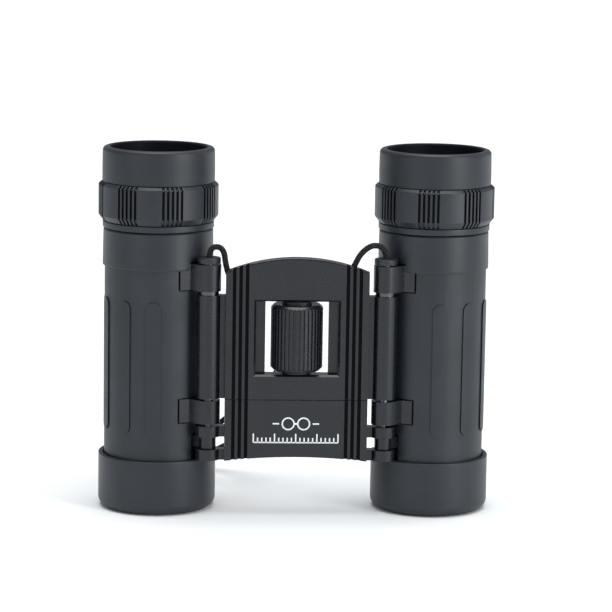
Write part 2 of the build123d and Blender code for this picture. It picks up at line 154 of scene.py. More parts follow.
class Graph:
    """The node tree of one material."""

    def __init__(self, name: str) -> None:
        """Starts a material with a Principled shader wired to its output.

        Args:
            name: the material's name.
        """
        self.material = bpy.data.materials.new(name)
        self.material.use_nodes = True
        self.tree = self.material.node_tree
        self.shader = self.tree.nodes["Principled BSDF"]

    def node(self, kind: str, settings: dict[str, object] | None = None,
             sockets: dict[int | str, object] | None = None, output: int | str = 0) -> Wire:
        """Adds a node.

        Args:
            kind: the node's type.
            settings: properties that are set before its sockets.
            sockets: values or wires for its inputs, by name or number.
            output: which output to hand back.

        Returns:
            The chosen output.
        """
        made = self.tree.nodes.new(kind)
        for key, value in (settings or {}).items():
            setattr(made, key, value)
        for key, value in (sockets or {}).items():
            self.feed(made.inputs[key], value)
        return Wire(self, made.outputs[output])

    def feed(self, socket: bpy.types.NodeSocket, value: object) -> None:
        """Links a wire to a socket, or sets the socket's value.

        Args:
            socket: the input.
            value: a wire, a colour or a number.
        """
        if isinstance(value, Wire):
            self.tree.links.new(value.socket, socket)
        elif isinstance(value, tuple) and len(value) == 3 and socket.type == "RGBA":
            socket.default_value = (*value, 1.0)
        else:
            socket.default_value = value

    def dress(self, **sockets: object) -> None:
        """Feeds sockets of the Principled shader, named with _ for a space."""
        for key, value in sockets.items():
            name = " ".join(word.upper() if word == "ior" else word.title() for word in key.split("_"))
            self.feed(self.shader.inputs[name], value)

    def place(self) -> Wire:
        """Object coordinates."""
        return self.node("ShaderNodeTexCoord", output="Object")

    def noise(self, scale: float, detail: float = 3.0, rough: float = 0.55) -> Wire:
        """A noise field in object space, from 0 to 1."""
        return self.node("ShaderNodeTexNoise", None,
                         {"Vector": self.place(), "Scale": scale, "Detail": detail, "Roughness": rough})

    def mix(self, factor: Wire, first: Colour, second: Colour) -> Wire:
        """A colour between two colours."""
        return self.node("ShaderNodeMix", {"data_type": "RGBA"}, {0: factor, 6: first, 7: second}, 2)

    def ramp(self, value: Wire, low: float, high: float) -> Wire:
        """The value stretched so that low becomes 0 and high becomes 1, then clipped."""
        return ((value - low) * (1 / (high - low))).clipped()

    def bump(self, height: Wire, distance: float, strength: float = 1.0) -> Wire:
        """A normal from a height field, with its depth in metres."""
        return self.node("ShaderNodeBump", None,
                         {"Height": height, "Distance": distance, "Strength": strength})


@dataclass(frozen=True)
class Moulded:
    """A moulded plastic or rubber: its colour drifts a little, and a fine grain breaks its gloss.

    Attributes:
        name: the material's name.
        colour: its middle colour.
        roughness: its middle roughness.
        grain_mm: the size of the moulded grain.
        depth_mm: the depth of the grain.
        drift: how far colour and roughness wander.
        specular: the strength of its reflection.
    """

    name: str
    colour: Colour
    roughness: float
    grain_mm: float = 0.25
    depth_mm: float = 0.01
    drift: float = 0.12
    specular: float = 0.5

    def make(self) -> bpy.types.Material:
        """Builds the material.

        Returns:
            The material.
        """
        graph = Graph(self.name)
        cloud = graph.ramp(graph.noise(1 / (9 * MM), 3.0), 0.3, 0.7)
        speck = graph.noise(1 / (self.grain_mm * MM), 2.0, 0.6)
        scuff = graph.ramp(graph.noise(1 / (2.2 * MM), 6.0, 0.7), 0.58, 0.8)
        dark = tuple(c * (1 - self.drift) for c in self.colour)
        pale = tuple(c * (1 + self.drift) for c in self.colour)
        graph.dress(
            base_color=graph.mix((cloud * 0.6 + speck * 0.4).clipped(), dark, pale),
            roughness=(self.roughness + (speck - 0.5) * 0.12 + scuff * 0.06 - cloud * 0.04).clipped(),
            specular_ior_level=self.specular,
            normal=graph.bump(speck, self.depth_mm * MM, 0.6),
        )
        return graph.material


@dataclass(frozen=True)
class Metal:
    """A turned or brushed metal with fine rings round a vertical axis."""

    name: str
    colour: Colour
    roughness: float = 0.3

    def make(self) -> bpy.types.Material:
        """Builds the material.

        Returns:
            The material.
        """
        graph = Graph(self.name)
        streak = graph.node("ShaderNodeTexNoise", None, {
            "Vector": graph.node("ShaderNodeMapping", None,
                                 {"Vector": graph.place(), "Scale": (300.0, 300.0, 9000.0)}),
            "Scale": 1.0, "Detail": 3.0})
        stain = graph.noise(1 / (1.5 * MM), 4.0)
        graph.dress(
            base_color=graph.mix(stain, tuple(0.82 * c for c in self.colour), self.colour),
            metallic=1.0,
            roughness=(self.roughness + (streak - 0.5) * 0.2).clipped(),
            normal=graph.bump(streak, 0.004 * MM, 0.5),
        )
        return graph.material


@dataclass(frozen=True)
class Glass:
    """Optical glass with a faint coating and a trace of dust."""

    name: str
    colour: Colour
    coating: Colour

    def make(self) -> bpy.types.Material:
        """Builds the material.

        Returns:
            The material.
        """
        graph = Graph(self.name)
        dust = graph.ramp(graph.noise(1 / (0.6 * MM), 5.0), 0.62, 0.85)
        film = graph.noise(1 / (12 * MM), 1.0)
        graph.dress(
            base_color=graph.mix(film, self.colour, tuple(0.9 * c for c in self.colour)),
            roughness=(0.03 + dust * 0.12).clipped(),
            transmission_weight=0.85,
            ior=1.52,
            specular_tint=self.coating,
            coat_weight=0.6,
            coat_roughness=0.03,
        )
        return graph.material


@dataclass(frozen=True)
class Braid:
    """A braided cord: crossing bands run along the cord's own UV map."""

    name: str
    colour: Colour
    pale: Colour
    picks: float
    bands: int = 4

    def make(self) -> bpy.types.Material:
        """Builds the material.

        Returns:
            The material.
        """
        graph = Graph(self.name)
        uv = graph.node("ShaderNodeTexCoord", output="UV")
        split = graph.node("ShaderNodeSeparateXYZ", None, {0: uv}, "X")
        along = split * (2 * pi * self.picks)
        around = Wire(graph, split.socket.node.outputs["Y"]) * (2 * pi * self.bands)
        one_way = ((along + around) * 0.5).sine().size()
        other_way = ((along - around) * 0.5).sine().size()
        weave = one_way.larger(other_way) ** 2.0
        fuzz = graph.noise(1 / (0.12 * MM), 3.0)
        height = weave * 0.8 + fuzz * 0.2
        graph.dress(
            base_color=graph.mix(height.clipped(), self.colour, self.pale),
            roughness=(0.72 + fuzz * 0.2).clipped(),
            sheen_weight=0.04,
            sheen_roughness=0.4,
            specular_ior_level=0.35,
            normal=graph.bump(height, 0.3 * MM, 1.0),
        )
        return graph.material


@dataclass(frozen=True)
class Ink:
    """White printing ink, slightly worn."""

    name: str
    colour: Colour

    def make(self) -> bpy.types.Material:
        """Builds the material.

        Returns:
            The material.
        """
        graph = Graph(self.name)
        worn = graph.ramp(graph.noise(1 / (0.35 * MM), 4.0), 0.35, 0.75)
        graph.dress(
            base_color=graph.mix(worn, self.colour, tuple(0.86 * c for c in self.colour)),
            roughness=(0.42 + worn * 0.15).clipped(),
            normal=graph.bump(worn, 0.01 * MM, 0.4),
        )
        return graph.material


class Finishes:
    """Every finish on the binoculars, made once."""

    def __init__(self) -> None:
        """Makes the materials, each under the name of its slot or its place."""
        made = [
            Moulded("satin_plastic", (0.0085, 0.0128, 0.0185), 0.44, 0.26, 0.016, 0.3),
            Moulded("gloss_plastic", (0.0034, 0.0056, 0.0092), 0.30, 0.3, 0.006, 0.2, 0.46),
            Moulded("armour_rubber", (0.0090, 0.0135, 0.0190), 0.50, 0.28, 0.028, 0.35),
            Moulded("eyecup_rubber", (0.0085, 0.0125, 0.0180), 0.48, 0.28, 0.02, 0.3),
            Moulded("inner_plastic", (0.0035, 0.0035, 0.006), 0.55, 0.4, 0.008),
            # painted shade: a near-black navy copy of the eyecup rubber for the inside of the cups
            Moulded("eyecup_lining", (0.0010, 0.0012, 0.0045), 0.6, 0.3, 0.008, 0.2, 0.15),
            # painted shade: a near-black copy of the plastic for groove floors and walls and the walls round
            # the armour pads
            Moulded("recess", (0.0010, 0.0013, 0.0020), 0.62, 0.3, 0.006, 0.2, 0.12),
            Metal("black_aluminium", (0.03, 0.03, 0.034), 0.42),
            Metal("steel", (0.50, 0.51, 0.53), 0.30),
            # painted shade: steel darkened for the washers that sit in the shaded knuckle gaps
            Metal("shaded_steel", (0.10, 0.10, 0.11), 0.22),
            Metal("brass", (0.72, 0.52, 0.22), 0.32),
            Glass("glass", (0.72, 0.80, 0.90), (0.45, 0.35, 0.85)),
            Braid("cord", (0.0008, 0.0008, 0.0012), (0.0085, 0.0095, 0.0125), 560.0),
            Ink("white_ink", (0.80, 0.82, 0.82)),
        ]
        self.by_name: dict[str, bpy.types.Material] = {f.name: f.make() for f in made}

    def put(self, piece: bpy.types.Object, name: str) -> None:
        """Makes one finish the only material of a piece."""
        piece.data.materials.clear()
        piece.data.materials.append(self.by_name[name])

    def dress_nodes(self) -> None:
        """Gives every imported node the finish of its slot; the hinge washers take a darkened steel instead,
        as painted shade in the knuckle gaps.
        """
        for part in frame["record"]["subparts"]:
            node = frame["nodes"][part["node"]]
            self.put(node, "shaded_steel" if part["node"] == "hinge_washers" else part["material_slot"])


# ------------------------------------------------------------------ the workbench
class Bench:
    """Modelling by hand: primitives, edit-mode operators and applied modifiers."""

    @staticmethod
    def clear() -> None:
        """Leaves edit mode and deselects everything."""
        if bpy.context.object and bpy.context.object.mode != "OBJECT":
            bpy.ops.object.mode_set(mode="OBJECT")
        bpy.ops.object.select_all(action="DESELECT")

    @staticmethod
    def take(piece: bpy.types.Object) -> None:
        """Makes one object the selected and active one.

        Args:
            piece: the object to make active.
        """
        Bench.clear()
        piece.select_set(True)
        bpy.context.view_layer.objects.active = piece

    @staticmethod
    def circle(name: str, centre: Vector, radius: float, steps: int) -> bpy.types.Object:
        """Adds an open circle in edit mode, all selected.

        Args:
            name: the piece's name.
            centre: its middle, in metres.
            radius: its radius, in metres.
            steps: its vertices.

        Returns:
            The circle's object, in edit mode.
        """
        Bench.clear()
        bpy.ops.mesh.primitive_circle_add(vertices=steps, radius=radius, location=centre)
        piece = bpy.context.object
        piece.name = name
        bpy.ops.object.transform_apply(location=True, rotation=False, scale=False)
        bpy.ops.object.mode_set(mode="EDIT")
        bpy.ops.mesh.select_mode(type="VERT")
        bpy.ops.mesh.select_all(action="SELECT")
        return piece

    @staticmethod
    def turn(name: str, axis: Vector, profile: Profile, steps: int = 128) -> bpy.types.Object:
        """Turns a closed ring by extruding and resizing a circle along a profile.

        Args:
            name: the piece's name.
            axis: a point on the vertical axis.
            profile: (radius, height) points in millimetres, from the frame's floor.
            steps: vertices round the ring.

        Returns:
            The closed ring.
        """
        radius, height = profile[0]
        piece = Bench.circle(name, Vector((axis.x, axis.y, height * MM)), radius * MM, steps)
        for next_radius, next_height in [*profile[1:], profile[0]]:
            bpy.ops.mesh.extrude_region_move(
                TRANSFORM_OT_translate={"value": (0, 0, (next_height - height) * MM)})
            scale = next_radius / radius
            bpy.ops.transform.resize(value=(scale, scale, 1), center_override=(axis.x, axis.y, 0))
            radius, height = next_radius, next_height
        bpy.ops.mesh.select_all(action="SELECT")
        bpy.ops.mesh.remove_doubles(threshold=0.002 * MM)
        bpy.ops.mesh.normals_make_consistent(inside=False)
        bpy.ops.object.mode_set(mode="OBJECT")
        return piece

    @staticmethod
    def pick_faces(piece: bpy.types.Object, test: Callable[[Vector, Vector], bool]) -> None:
        """Selects, in edit mode, the faces whose middle and normal pass a test.

        Args:
            piece: the object to work on.
            test: takes a face's middle and normal.
        """
        bpy.ops.mesh.select_mode(type="FACE")
        bpy.ops.mesh.select_all(action="DESELECT")
        mesh = bmesh.from_edit_mesh(piece.data)
        for face in mesh.faces:
            face.select_set(test(face.calc_center_median(), face.normal))
        bmesh.update_edit_mesh(piece.data)

    @staticmethod
    def round_edges(piece: bpy.types.Object, width_mm: float, angle: float = 30.0, segments: int = 2) -> None:
        """Bevels the sharp edges with a modifier, applies it and shades the piece smooth.

        Args:
            piece: the object to work on.
            width_mm: the width of the rounding, in millimetres.
            angle: edges sharper than this many degrees are rounded.
            segments: how many strips each rounding has.
        """
        Bench.take(piece)
        bevel = piece.modifiers.new("edges", "BEVEL")
        bevel.width = width_mm * MM
        bevel.segments = segments
        bevel.limit_method = "ANGLE"
        bevel.angle_limit = radians(angle)
        bevel.use_clamp_overlap = True
        bpy.ops.object.modifier_apply(modifier=bevel.name)
        bpy.ops.object.shade_smooth_by_angle(angle=radians(32))
        weighted = piece.modifiers.new("flat_faces", "WEIGHTED_NORMAL")
        weighted.weight = 80
        weighted.keep_sharp = True
        bpy.ops.object.modifier_apply(modifier=weighted.name)

    @staticmethod
    def soften(node: str, width_mm: float, angle: float = 30.0) -> bpy.types.Object:
        """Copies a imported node, merges it and rounds its edges.

        Args:
            node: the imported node's name.
            width_mm: the width of the rounding, in millimetres.
            angle: edges sharper than this many degrees are rounded.

        Returns:
            The new piece, which stands for the node.
        """
        source = frame["nodes"][node]
        piece = bpy.data.objects.new(f"{node}_shell", source.data.copy())
        bpy.context.scene.collection.objects.link(piece)
        Bench.take(piece)
        if piece.data.has_custom_normals:
            bpy.ops.mesh.customdata_custom_splitnormals_clear()
        bpy.ops.object.mode_set(mode="EDIT")
        bpy.ops.mesh.select_all(action="SELECT")
        bpy.ops.mesh.remove_doubles(threshold=0.0005 * MM)
        bpy.ops.mesh.dissolve_limited(angle_limit=radians(0.4))
        bpy.ops.object.mode_set(mode="OBJECT")
        Bench.round_edges(piece, width_mm, angle)
        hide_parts(node)
        return piece


def fillet_arc(centre: tuple[float, float], radius: float, start: float, stop: float,
               steps: int) -> Profile:
    """Points of a rounded corner in a profile, in millimetres and degrees."""
    angles = [radians(start + (stop - start) * k / steps) for k in range(steps + 1)]
    return [(centre[0] + radius * cos(a), centre[1] + radius * sin(a)) for a in angles]


def darken_where(piece: bpy.types.Object, finishes: Finishes, name: str,
                 test: Callable[[Vector, Vector], bool]) -> None:
    """Gives the faces that pass a test a second, darker finish, which paints shade into them.

    Args:
        piece: the piece, which has its first finish.
        finishes: every finish.
        name: the second finish, a painted shade.
        test: takes a face's middle and normal.
    """
    piece.data.materials.append(finishes.by_name[name])
    chosen = [face for face in piece.data.polygons if test(Vector(face.center), Vector(face.normal))]
    for face in chosen:
        face.material_index = 1
    log.info("%s: %d faces are %s", piece.name, len(chosen), name)


def deliver(piece: bpy.types.Object, body: str) -> None:
    """Rides a piece on its body and reports it.

    Args:
        piece: the finished piece.
        body: the body that it moves with.
    """
    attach(piece, body)
    log.info("%s: %d faces, rides on %s", piece.name, len(getattr(piece.data, "polygons", [])), body)


# ------------------------------------------------------------------ camera, floor and light
@dataclass
class Studio:
    """The pale floor, the soft lights and the camera."""

    eye: Vector = field(default_factory=lambda: Vector((-0.0291, -0.7003, 0.1689)))
    yaw: float = 2.592
    pitch: float = 9.574
    roll: float = 0.905
    lens: float = 168.63
    sensor: float = 36.0
    backdrop: Colour = (0.84, 0.93, 1.0)
    surroundings: float = 0.42
    overhead_power: float = 2.6

    def camera(self) -> None:
        """Sets the camera, a long lens a little above the glasses."""
        psi, theta, rho = radians(self.yaw), radians(self.pitch), radians(self.roll)
        ahead = Vector((sin(psi) * cos(theta), cos(psi) * cos(theta), -sin(theta)))
        right = Vector((cos(psi), -sin(psi), 0))
        up = right.cross(ahead)
        turned_right = cos(rho) * right + sin(rho) * up
        turned_up = cos(rho) * up - sin(rho) * right
        data = bpy.data.cameras.new("camera")
        data.lens = self.lens
        data.sensor_width = self.sensor
        data.clip_start = 0.01
        camera = bpy.data.objects.new("camera", data)
        turn = Matrix((turned_right, turned_up, -ahead)).transposed()
        camera.matrix_world = Matrix.Translation(self.eye) @ turn.to_4x4()
        bpy.context.scene.collection.objects.link(camera)
        bpy.context.scene.camera = camera

    def floor(self) -> None:
        """Lays a wide pale floor level with the feet."""
        Bench.clear()
        bpy.ops.mesh.primitive_plane_add(size=6.0, location=(0, 0, -0.00005))
        plane = bpy.context.object
        plane.name = "floor"
        graph = Graph("floor_paper")
        tooth = graph.noise(1 / (0.8 * MM), 3.0)
        graph.dress(base_color=graph.mix(tooth, (0.90, 0.90, 0.90), (0.93, 0.93, 0.93)), roughness=0.9,
                    normal=graph.bump(tooth, 0.01 * MM, 0.3))
        plane.data.materials.append(graph.material)

    def lamp(self, name: str, azimuth: float, elevation: float, distance: float, size: tuple[float, float],
             power: float) -> None:
        """Adds a soft rectangular light that faces the middle of the glasses.

        Args:
            name: the light's name.
            azimuth: degrees round from the front, towards +X.
            elevation: degrees above the floor.
            distance: metres from the glasses.
            size: width and height in metres.
            power: watts.
        """
        data = bpy.data.lights.new(name, "AREA")
        data.shape = "RECTANGLE"
        data.size, data.size_y = size
        data.energy = power
        light = bpy.data.objects.new(name, data)
        a, e = radians(azimuth), radians(elevation)
        away = Vector((sin(a) * cos(e), -cos(a) * cos(e), sin(e)))
        light.location = Vector((0, 0, 0.045)) + distance * away
        light.rotation_euler = away.to_track_quat("Z", "Y").to_euler()
        bpy.context.scene.collection.objects.link(light)

    def overhead(self) -> None:
        """Adds the wide soft light straight above, which whitens the floor and grazes the tubes."""
        data = bpy.data.lights.new("overhead", "SUN")
        data.energy = self.overhead_power
        data.angle = radians(50)
        light = bpy.data.objects.new("overhead", data)
        light.location = (0, 0, 1.5)
        bpy.context.scene.collection.objects.link(light)

    def lights(self) -> None:
        """Sets the key light, the fill, two edge lights, the overhead light and the surroundings."""
        self.lamp("key", 48, 14, 1.0, (0.22, 0.8), 6.0)
        self.lamp("fill", -40, 12, 1.2, (0.5, 0.8), 1.6)
        self.lamp("edge_left", -118, 12, 0.9, (0.2, 0.8), 0.1)
        self.lamp("edge_right", 118, 12, 0.9, (0.2, 0.8), 0.7)
        self.overhead()
        world = bpy.data.worlds.new("studio")
        world.use_nodes = True
        ground = world.node_tree.nodes["Background"]
        ground.inputs["Color"].default_value = (*self.backdrop, 1.0)
        ground.inputs["Strength"].default_value = self.surroundings
        bpy.context.scene.world = world
        bpy.context.scene.view_settings.view_transform = "Standard"

    def build(self) -> None:
        """Sets up the whole studio."""
        self.camera()
        self.floor()
        self.lights()


# ------------------------------------------------------------------ the neck cord
@dataclass
class NeckCord:
    """One braided cord from pin cap to pin cap, its spare length wound into a coil."""

    radius: float = 0.725 * MM
    rows: int = 4
    columns: int = 3
    mean_radius: float = 8.25 * MM
    lift: float = 0.35 * MM
    points_per_turn: int = 20
    moves_take: float = 0.5
    length: float = 0.837
    left: tuple[tuple[float, float, float], ...] = (
        (-21.6, 0, 63.6), (-21.6, 0, 66.8), (-18.1, 0, 66.7), (-17.5, 0, 61.8), (-16.3, 0, 58.6),
        (-13.2, 0.1, 57.0), (-8.0, 0.15, 56.85), (-3.0, 0.6, 56.9), (-0.6, 3.4, 56.9),
        (0, 8.2, 56.5), (0, 15, 52.5), (0, 22, 44), (-0.6, 28.2, 33.5), (-3.5, 35, 21.8),
        (-10, 42.3, 12), (-18.5, 48.8, 5.4), (-26, 52.2, 2.0), (-31.5, 53.0, 1.3))
    right: tuple[tuple[float, float, float], ...] = (
        (21.6, 0, 63.6), (21.6, 0, 66.6), (18.4, 0, 67.8), (15.2, 0, 65.4), (13.6, 0.1, 61.6),
        (10.8, 0.15, 59.2), (6.5, 0.2, 58.75), (2.6, 0.75, 58.75), (0.5, 3.5, 58.8),
        (0, 9.2, 58.6), (0, 17, 54.6), (0, 24.4, 45.6), (-0.6, 30.4, 35.5), (-4.5, 34.6, 27.5),
        (-11.5, 37.0, 20.5), (-19.5, 37.0, 14), (-26.5, 34.6, 9.2), (-31.5, 33.5, 6.7))

    @property
    def turns(self) -> float:
        """The turns in the coil, which runs in at its back and out at its front."""
        return self.rows * self.columns - 0.5

    def laid(self, route: tuple[tuple[float, float, float], ...]) -> list[Vector]:
        """The strand's points in the frame: the route counts its depth from the fold hinges."""
        depth = Side.LEFT.hinge.y
        return [Vector((x * MM, depth + y * MM, z * MM)) for x, y, z in route]

    def cells(self) -> list[tuple[int, int]]:
        """The (column, row) that each turn fills: inwards along one row, outwards along the next.

        Returns:
            The places, in the order that they fill.
        """
        order = range(self.columns)
        rows = [order if row % 2 == 0 else order[::-1] for row in range(self.rows)]
        return [(column, row) for row, columns in enumerate(rows) for column in columns]

    def cell_at(self, turned: float) -> tuple[float, float]:
        """Where the cord is in the coil's section.

        The cord makes one move between two turns. The upper rows make theirs first, so that each
        place is empty by the time that the next turn moves in.

        Args:
            turned: the turns laid so far.

        Returns:
            The column and the row, between whole numbers while the cord moves.
        """
        cells = self.cells()
        stages = 2 * self.rows - 1
        width = self.moves_take / stages
        column, row = cells[0]
        for turn, ((column_0, row_0), (column_1, row_1)) in enumerate(zip(cells, cells[1:])):
            stage = stages - 1 - row_0 - row_1
            share = min(max((turned - turn - 0.5 - stage * width) / width, 0.0), 1.0)
            column += (column_1 - column_0) * share
            row += (row_1 - row_0) * share
        return column, row

    def coil(self) -> list[Vector]:
        """The points of the coil's turns, from the back of the coil to its front.

        Returns:
            The points.
        """
        low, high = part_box("cord_coil")
        centre = (low + high) / 2
        pitch = 2 * self.radius
        outer = self.mean_radius + pitch * (self.columns - 1) / 2
        swell = 1 / cos(pi / self.points_per_turn)
        points = []
        for k in range(round(self.turns * self.points_per_turn) + 1):
            turned = k / self.points_per_turn
            column, row = self.cell_at(turned)
            angle = pi / 2 + 2 * pi * turned
            reach = (outer - pitch * column) * swell
            level = self.lift + self.radius + pitch * row
            points.append(Vector((centre.x + reach * cos(angle), centre.y + reach * sin(angle), level)))
        return points

    def build(self, finishes: Finishes) -> None:
        """Args:
            finishes: every finish, by name.
        """
        points = self.laid(self.left) + self.coil() + self.laid(self.right)[::-1]
        data = bpy.data.curves.new("neck_cord", "CURVE")
        data.dimensions = "3D"
        spline = data.splines.new("NURBS")
        spline.points.add(len(points) - 1)
        for slot, point in zip(spline.points, points):
            slot.co = (*point, 1.0)
        spline.order_u = 3
        spline.use_endpoint_u = True
        spline.resolution_u = 5
        data.bevel_depth = self.radius
        data.bevel_resolution = 3
        data.use_fill_caps = True
        cord = bpy.data.objects.new("neck_cord", data)
        bpy.context.scene.collection.objects.link(cord)
        finishes.put(cord, "cord")
        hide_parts("left_cord", "right_cord", "cord_coil")
        2 * self.radius
        deliver(cord, "bridge")


# ------------------------------------------------------------------ the optical tubes
@dataclass
class Eyecup:
    """The soft eyecup with its rounded rim, and painted shade inside its bore."""

    side: Side
    outer: float = 13.84
    mouth: float = 11.75
    rim: float = 90.0
    foot: float = 81.3
    rim_fillet: float = 1.0
    lip_fillet: float = 0.55
    belly: float = 84.0
    wall_foot: float = 88.0
    step: tuple[tuple[float, float], ...] = ((11.25, 82.0), (11.2, 80.0), (10.4, 79.6), (10.2, 74.0))
    socket: float = 12.25
    lining: float = 0.35

    def profile(self) -> Profile:
        """The eyecup's section: outside up over the rim, then down the stepped bore.

        Returns:
            The closed section, as (radius, height) points in millimetres.
        """
        rim_r = self.rim_fillet
        lip_r = self.lip_fillet
        return [
            (self.outer - 0.25, self.foot), (self.outer, self.foot + 0.3), (self.outer + 0.03, self.belly),
            (self.outer - 0.02, self.rim - rim_r - 1.0),
            *fillet_arc((self.outer - rim_r - 0.05, self.rim - rim_r), rim_r, 0, 90, 7),
            *fillet_arc((self.mouth + lip_r, self.rim - lip_r), lip_r, 90, 180, 4),
            (self.mouth - 0.05, self.wall_foot), *self.step,
            (self.socket, self.step[-1][1]), (self.socket, self.foot),
        ]

    def build(self, finishes: Finishes) -> None:
        """Turns the eyecup and paints shade into its bore.

        Args:
            finishes: every finish, by name.
        """
        name = f"{self.side.label}_eyecup"
        piece = Bench.turn(f"{name}_soft", self.side.axis, self.profile(), 144)
        Bench.round_edges(piece, 0.12, 40)
        finishes.put(piece, "eyecup_rubber")
        # painted shade: the faces inside the mouth take the near-black finish
        piece.data.materials.append(finishes.by_name["eyecup_lining"])
        axis = self.side.axis
        for face in piece.data.polygons:
            reach = (Vector(face.center) - axis).xy.length / MM
            if reach < self.mouth + self.lining:
                face.material_index = 1
        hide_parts(name)
        deliver(piece, "diopter_ring" if self.side is Side.LEFT else self.side.tube)


@dataclass
class GripRing:
    """The ring under the eyecup, with groups of grooves between smooth pads."""

    side: Side
    radius: float = 14.78
    bore: float = 12.3
    foot_radius: float = 13.7
    top_radius: float = 14.0
    foot: float = 71.85
    pad_foot: float = 73.3
    pad_top: float = 80.7
    top: float = 81.4
    pressed_from: float = 13.75
    floor_reach: tuple[float, float] = (14.1, 14.6)
    groups: int = 8
    grooves: int = 5
    depth: float = 0.55
    steps: int = 160
    phase: dict[Side, float] = field(default_factory=lambda: {Side.LEFT: 13.9, Side.RIGHT: -10.4})

    def build(self, finishes: Finishes) -> None:
        """Turns the ring, then presses the grooves into it.

        Args:
            finishes: every finish, by name.
        """
        name = f"{self.side.label}_grip_ring"
        axis = self.side.axis
        profile = [(self.bore, self.foot), (self.foot_radius, self.foot), (self.radius, self.pad_foot),
                   (self.radius, self.pad_top), (self.top_radius, self.top), (self.bore, self.top)]
        piece = Bench.turn(f"{name}_turned", axis, profile, self.steps)
        Bench.take(piece)
        period = self.steps // self.groups
        step = 360 / self.steps
        middle = -90 + self.phase[self.side]
        turn = radians(middle - (self.grooves - 0.5) * step)
        bpy.ops.object.mode_set(mode="EDIT")
        bpy.ops.mesh.select_all(action="SELECT")
        mesh = bmesh.from_edit_mesh(piece.data)
        bmesh.ops.rotate(mesh, verts=mesh.verts, cent=axis, matrix=Matrix.Rotation(turn, 3, "Z"))
        bmesh.update_edit_mesh(piece.data)

        def in_groove(centre: Vector, normal: Vector) -> bool:
            """True for the outside faces of a groove.

            Args:
                centre: the face's middle.
                normal: the face's normal.

            Returns:
                True for a face that passes.
            """
            out = centre - axis
            facing = normal.xy.normalized().dot(out.xy.normalized())
            if out.xy.length / MM < self.pressed_from or facing < 0.5:
                return False
            heading = (Vector((1, 0)).angle_signed(Vector((out.x, -out.y))) - turn) / radians(step)
            column = int(round(heading - 0.5)) % period
            return column % 2 == 0 and column < 2 * self.grooves

        Bench.pick_faces(piece, in_groove)
        bpy.ops.mesh.extrude_region_shrink_fatten(TRANSFORM_OT_shrink_fatten={"value": -self.depth * MM})
        Bench.round_edges(piece, 0.09, 25)
        finishes.put(piece, "satin_plastic")

        def is_pressed(centre: Vector, normal: Vector) -> bool:
            """True for the floors and walls of the pressed grooves."""
            nearest, furthest = self.floor_reach
            return nearest < (centre - axis).xy.length / MM < furthest and abs(normal.z) < 0.4

        # painted shade: the groove floors and walls of the grip ring take the darker finish
        darken_where(piece, finishes, "recess", is_pressed)
        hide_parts(name)
        deliver(piece, "diopter_ring" if self.side is Side.LEFT else self.side.tube)


@dataclass
class ObjectiveCollar:
    """The foot of a tube: a collar with a rounded lower edge and a thin top lip."""

    side: Side
    radius: float = 14.6
    top: float = 13.6
    fillet: float = 2.3
    lip: float = 0.35
    bore: float = 13.4
    bore_foot: float = 4.0
    mouth: float = 11.25
    foot_break: float = 0.5

    def build(self, finishes: Finishes) -> None:
        """Turns the collar.

        Args:
            finishes: every finish, by name.
        """
        name = f"{self.side.label}_objective_collar"
        lip, bore = self.lip, self.bore
        profile = [
            (self.mouth + self.foot_break, 0.0),
            *fillet_arc((self.radius - self.fillet, self.fillet), self.fillet, -90, 0, 9),
            *fillet_arc((self.radius - lip, self.top - lip), lip, 0, 90, 4),
            (bore + 0.25, self.top), (bore, self.top - 0.25), (bore, self.bore_foot),
            (self.mouth, self.bore_foot), (self.mouth, self.foot_break),
        ]
        piece = Bench.turn(f"{name}_turned", self.side.axis, profile, 144)
        Bench.round_edges(piece, 0.1, 35)
        finishes.put(piece, "satin_plastic")
        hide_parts(name)
        deliver(piece, f"{self.side.label}_objective")


@dataclass
class Tube:
    """One optical tube: everything round one axis that is seen from outside."""

    side: Side
    sleeve_reach: float = 13.19
    pad_reach: float = 13.52
    pads_between: tuple[float, float] = (5.0, 60.0)
    steep: float = 0.80

    def build(self, finishes: Finishes) -> None:
        """Builds the tube's pieces from the eye down to the foot.

        Args:
            finishes: every finish, by name.
        """
        Eyecup(self.side).build(finishes)
        GripRing(self.side).build(finishes)
        ObjectiveCollar(self.side).build(finishes)
        label = self.side.label
        shells = [
            ("eyepiece_flange", 0.15, "satin_plastic", self.side.tube),
            ("eyepiece_collar", 0.15, "satin_plastic", self.side.tube),
            ("armour", 0.07, "armour_rubber", self.side.tube),
            ("barrel", 0.25, "gloss_plastic", self.side.tube),
            ("objective_cell", 0.12, "gloss_plastic", f"{label}_objective"),
            ("pin_cap", 0.08, "satin_plastic", "bridge"),
        ]
        for name, width, finish, body in shells:
            piece = Bench.soften(f"{label}_{name}", width)
            finishes.put(piece, finish)
            if name == "armour":
                # painted shade: the steep walls round the armour pads take the darker finish
                darken_where(piece, finishes, "recess", self.pad_wall_test())
            deliver(piece, body)

    def pad_wall_test(self) -> Callable[[Vector, Vector], bool]:
        """Returns a test that is true for the steep faces round a raised pad of the armour.

        Returns:
            The test.
        """
        axis = self.side.axis

        def is_pad_wall(centre: Vector, normal: Vector) -> bool:
            """True for a face that stands between the sleeve's surface and a pad's.

            Args:
                centre: the face's middle.
                normal: the face's normal.

            Returns:
                True for a face that passes.
            """
            out = (centre - axis).xy
            lowest, highest = self.pads_between
            inside_ends = lowest < centre.z / MM < highest
            between = self.sleeve_reach < out.length / MM < self.pad_reach
            return inside_ends and between and normal.xy.dot(out.normalized()) < self.steep

        return is_pad_wall


